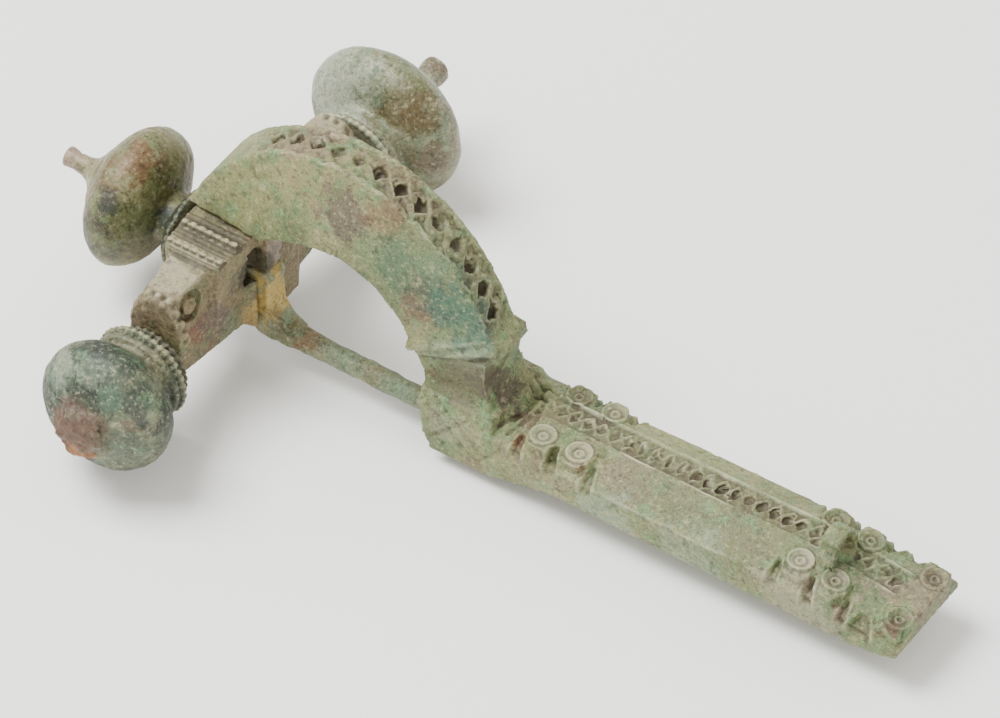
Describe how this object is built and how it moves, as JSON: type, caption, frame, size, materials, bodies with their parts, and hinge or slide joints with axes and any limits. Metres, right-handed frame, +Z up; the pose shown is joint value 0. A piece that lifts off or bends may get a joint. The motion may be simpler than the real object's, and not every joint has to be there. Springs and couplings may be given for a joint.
{
  "type": "crossbow brooch",
  "caption": "Late Roman crossbow brooch of green-patinated cast bronze: arched bow, long foot with ring-and-dot work, crossbar, onion knobs and a hinged pin.",
  "frame": {"origin": "middle of the brooch's outline seen from above, on the surface that it lies on", "axes": "+X from the head knob to the end of the foot, +Y along the crossbar to the larger knob, +Z up through the top of the bow"},
  "size_m": [0.0892, 0.0554, 0.0266],
  "materials": {
    "green_bronze": "sage and turquoise patina, matt",
    "grey_bronze": "grey-green patina, matt",
    "olive_bronze": "olive patina with brown streaks, matt",
    "dark_bronze": "dark blue-green patina, matt",
    "pale_bronze": "pale grey-green patina, matt",
    "pin_bronze": "ochre corrosion and olive patina, matt"
  },
  "bodies": {
    "brooch": {"bow_and_foot": "green_bronze", "crossbar": "grey_bronze", "head_knob": "olive_bronze", "right_knob": "dark_bronze", "left_knob": "pale_bronze"},
    "pin": {"pin": "pin_bronze"}
  },
  "joints": [
    {"name": "pin_hinge", "type": "hinge", "parent": "brooch", "child": "pin", "pos_m": [-0.02463, -0.0032, 0.0082], "axis": [0, 1, 0], "range_deg": [0, 75]}
  ]
}
